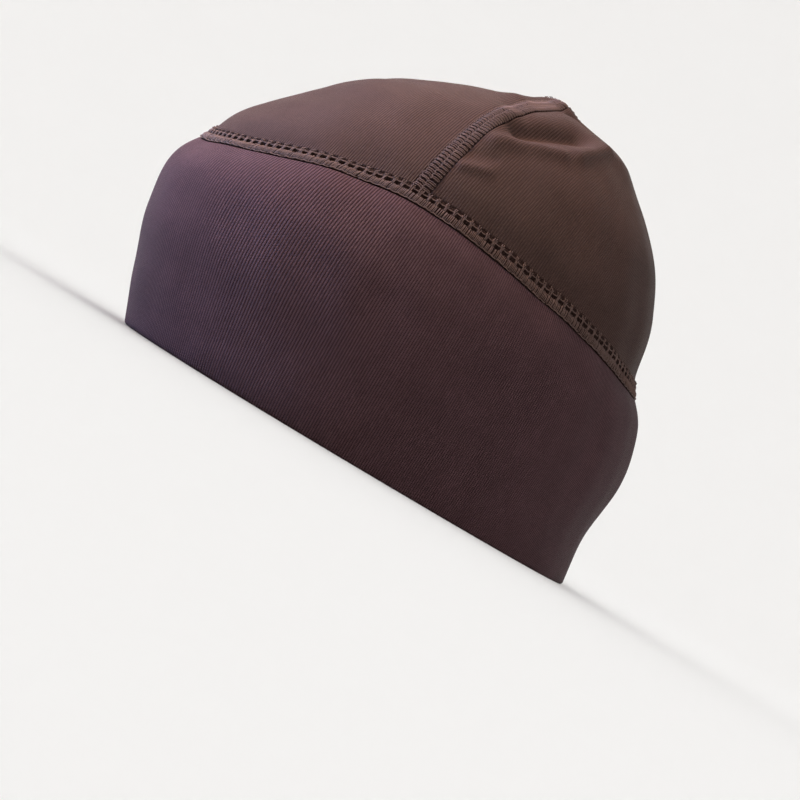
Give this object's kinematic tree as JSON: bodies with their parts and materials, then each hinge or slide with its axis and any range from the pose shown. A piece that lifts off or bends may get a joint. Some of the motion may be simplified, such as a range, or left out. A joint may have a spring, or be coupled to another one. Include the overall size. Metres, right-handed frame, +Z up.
{
  "type": "sport beanie",
  "caption": "Close-fitting stretch skull cap with a wide folded headband, a crown of three gores and flat seams, to wear on a head.",
  "frame": {"origin": "centre of the bounding box, on the flat rim that the beanie rests on", "axes": "+Z up from the rim to the crown's apex, -Y to the wearer's front, +X to the wearer's left"},
  "size_m": [0.1704, 0.2138, 0.1582],
  "materials": {
    "band_knit": "smooth satin stretch knit",
    "crown_knit": "smooth satin stretch knit",
    "seam_thread": "matt overlocked thread"
  },
  "bodies": {
    "root": {"headband": "band_knit", "crown_front_panel": "crown_knit", "crown_left_panel": "crown_knit", "crown_right_panel": "crown_knit", "band_seam": "seam_thread", "left_crown_seam": "seam_thread", "right_crown_seam": "seam_thread", "back_crown_seam": "seam_thread", "headband_back_seam": "seam_thread"}
  },
  "joints": []
}
